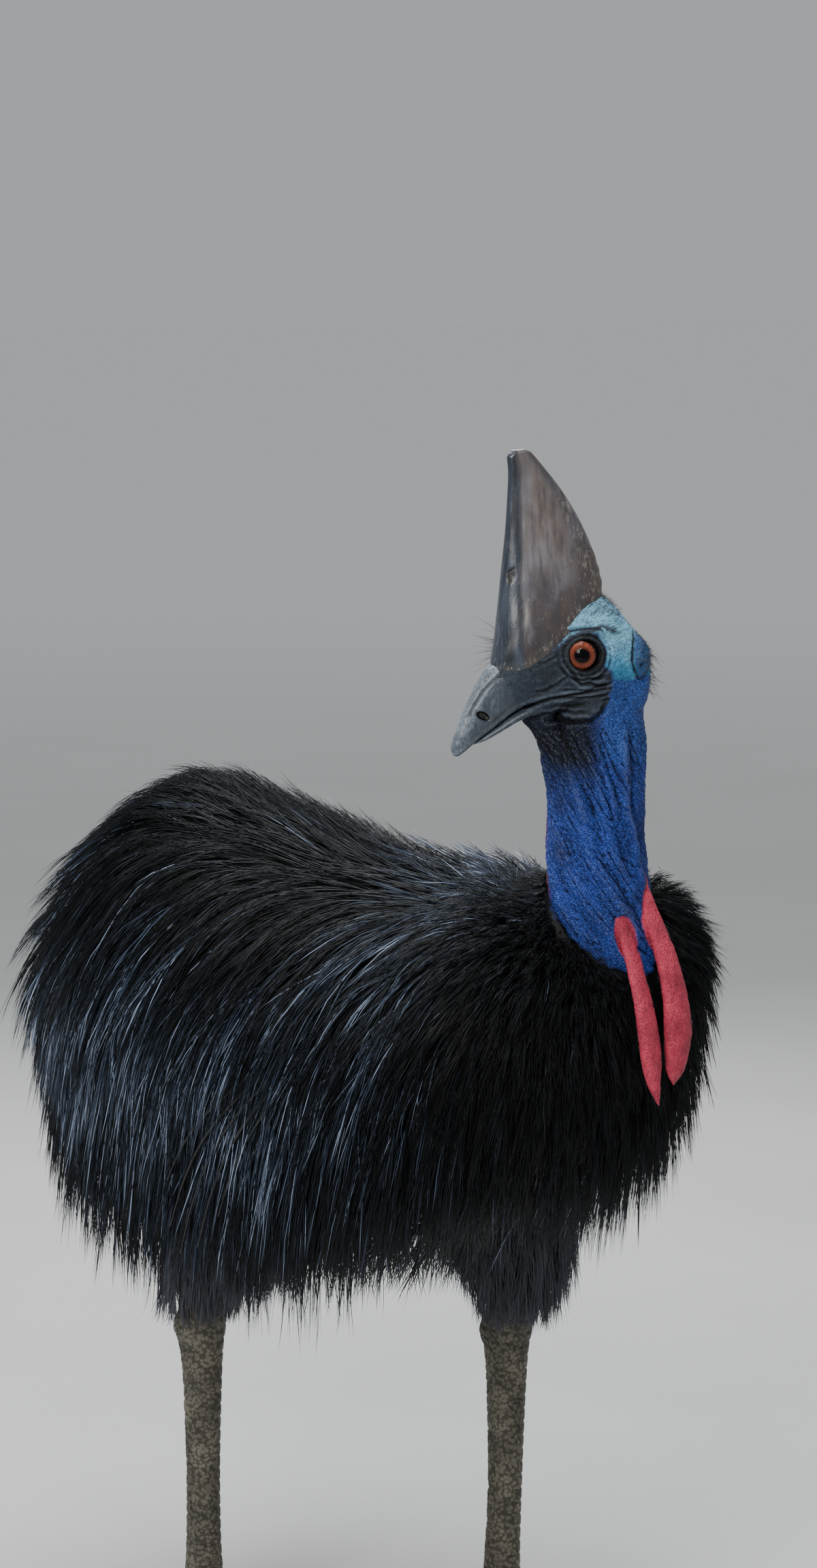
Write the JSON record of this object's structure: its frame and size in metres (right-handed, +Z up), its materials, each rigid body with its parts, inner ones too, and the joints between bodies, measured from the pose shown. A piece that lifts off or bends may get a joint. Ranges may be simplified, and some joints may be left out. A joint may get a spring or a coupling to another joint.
{
  "type": "cassowary",
  "caption": "Life-size standing cassowary model, long loose black plumage, blue neck, red wattles and tall horn casque, head turned back over the right shoulder.",
  "frame": {"origin": "on the floor, at the middle of the bounding box's base, between the feet", "axes": "+Z up, the breast faces -Y, the bird's own left side is +X"},
  "size_m": [0.456, 0.9248, 1.233],
  "materials": {
    "plumage": "long, loose, hair-like feathers with a dull blue-grey sheen",
    "wattle": "pebbled bare skin, soft satin",
    "leg_scale": "broad overlapping leg scales, satin",
    "claw": "dark horn, satin",
    "quill": "smooth black quill, glossy",
    "iris": "wet, glossy eye with an orange-brown iris and a black pupil",
    "horn": "weathered grey-brown horn, satin with a glossier front edge",
    "bill": "slate-grey horn, satin",
    "neck_skin": "pebbled cobalt-blue bare skin, satin",
    "face_skin": "wrinkled blue-black bare skin, satin"
  },
  "bodies": {
    "root": {"head": "face_skin", "casque": "horn", "bill_upper": "bill", "bill_lower": "bill", "eye_left": "iris", "eye_right": "iris", "neck_upper": "neck_skin", "neck_middle": "neck_skin", "neck_lower": "neck_skin", "wattle_left": "wattle", "wattle_right": "wattle", "torso": "plumage", "wing_left": "quill", "wing_right": "quill", "thigh_left": "plumage", "thigh_right": "plumage", "shank_left": "leg_scale", "shank_right": "leg_scale", "toe_inner_left": "leg_scale", "toe_middle_left": "leg_scale", "toe_outer_left": "leg_scale", "toe_inner_right": "leg_scale", "toe_middle_right": "leg_scale", "toe_outer_right": "leg_scale", "claw_inner_left": "claw", "claw_middle_left": "claw", "claw_outer_left": "claw", "claw_inner_right": "claw", "claw_middle_right": "claw", "claw_outer_right": "claw"}
  },
  "joints": []
}
